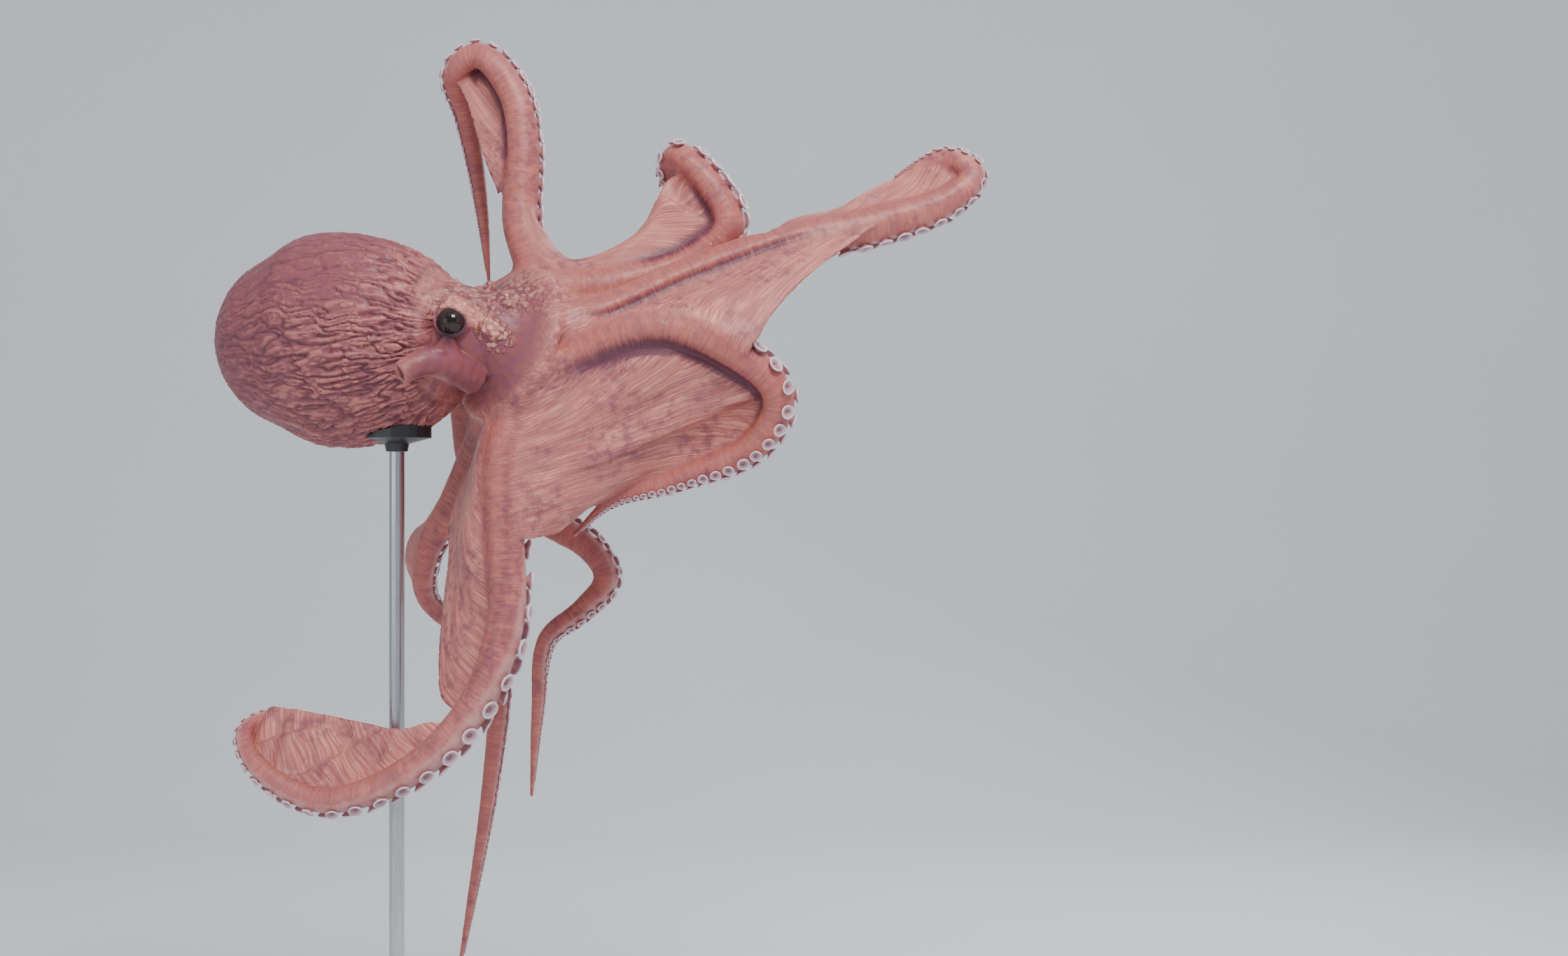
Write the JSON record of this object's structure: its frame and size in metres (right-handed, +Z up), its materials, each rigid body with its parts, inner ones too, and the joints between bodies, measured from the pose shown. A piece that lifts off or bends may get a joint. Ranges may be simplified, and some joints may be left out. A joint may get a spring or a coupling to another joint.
{
  "type": "octopus",
  "caption": "Life-size giant Pacific octopus swimming with its arms spread and curled, deep webs between them, held by the mantle on a flat display stand with a rod.",
  "frame": {"origin": "middle of the stand base's underside, on the floor", "axes": "+Z up, +X towards the ends of the spread arms (the mantle is towards -X), +Y away from the side the animal is seen from; the longest extent is along Z and the shortest along Y"},
  "size_m": [1.0275, 0.5324, 1.489],
  "materials": {
    "flesh": "satin",
    "web": "satin",
    "eye": "gloss",
    "beak": "satin",
    "stand": "satin",
    "steel": "satin"
  },
  "bodies": {
    "root": {"arm_L1_base": "flesh", "arm_L1_middle": "flesh", "arm_L1_tip": "flesh", "arm_L2_base": "flesh", "arm_L2_middle": "flesh", "arm_L2_tip": "flesh", "arm_L3_base": "flesh", "arm_L3_middle": "flesh", "arm_L3_tip": "flesh", "arm_L4_base": "flesh", "arm_L4_middle": "flesh", "arm_L4_tip": "flesh", "arm_R1_base": "flesh", "arm_R1_middle": "flesh", "arm_R1_tip": "flesh", "arm_R2_base": "flesh", "arm_R2_middle": "flesh", "arm_R2_tip": "flesh", "arm_R3_base": "flesh", "arm_R3_middle": "flesh", "arm_R3_tip": "flesh", "arm_R4_base": "flesh", "arm_R4_middle": "flesh", "arm_R4_tip": "flesh", "beak": "beak", "crown": "flesh", "eye_left": "eye", "eye_right": "eye", "fold_L1": "web", "fold_L4": "web", "fold_R2": "web", "fold_R4": "web", "funnel": "flesh", "head": "flesh", "mantle": "flesh", "stand_base": "stand", "stand_cup": "stand", "stand_flange": "stand", "stand_rod": "steel", "web_L1_R1": "web", "web_L2_L1": "web", "web_L3_L2": "web", "web_L4_L3": "web", "web_R1_R2": "web", "web_R2_R3": "web", "web_R3_R4": "web", "web_R4_L4": "web"}
  },
  "joints": []
}
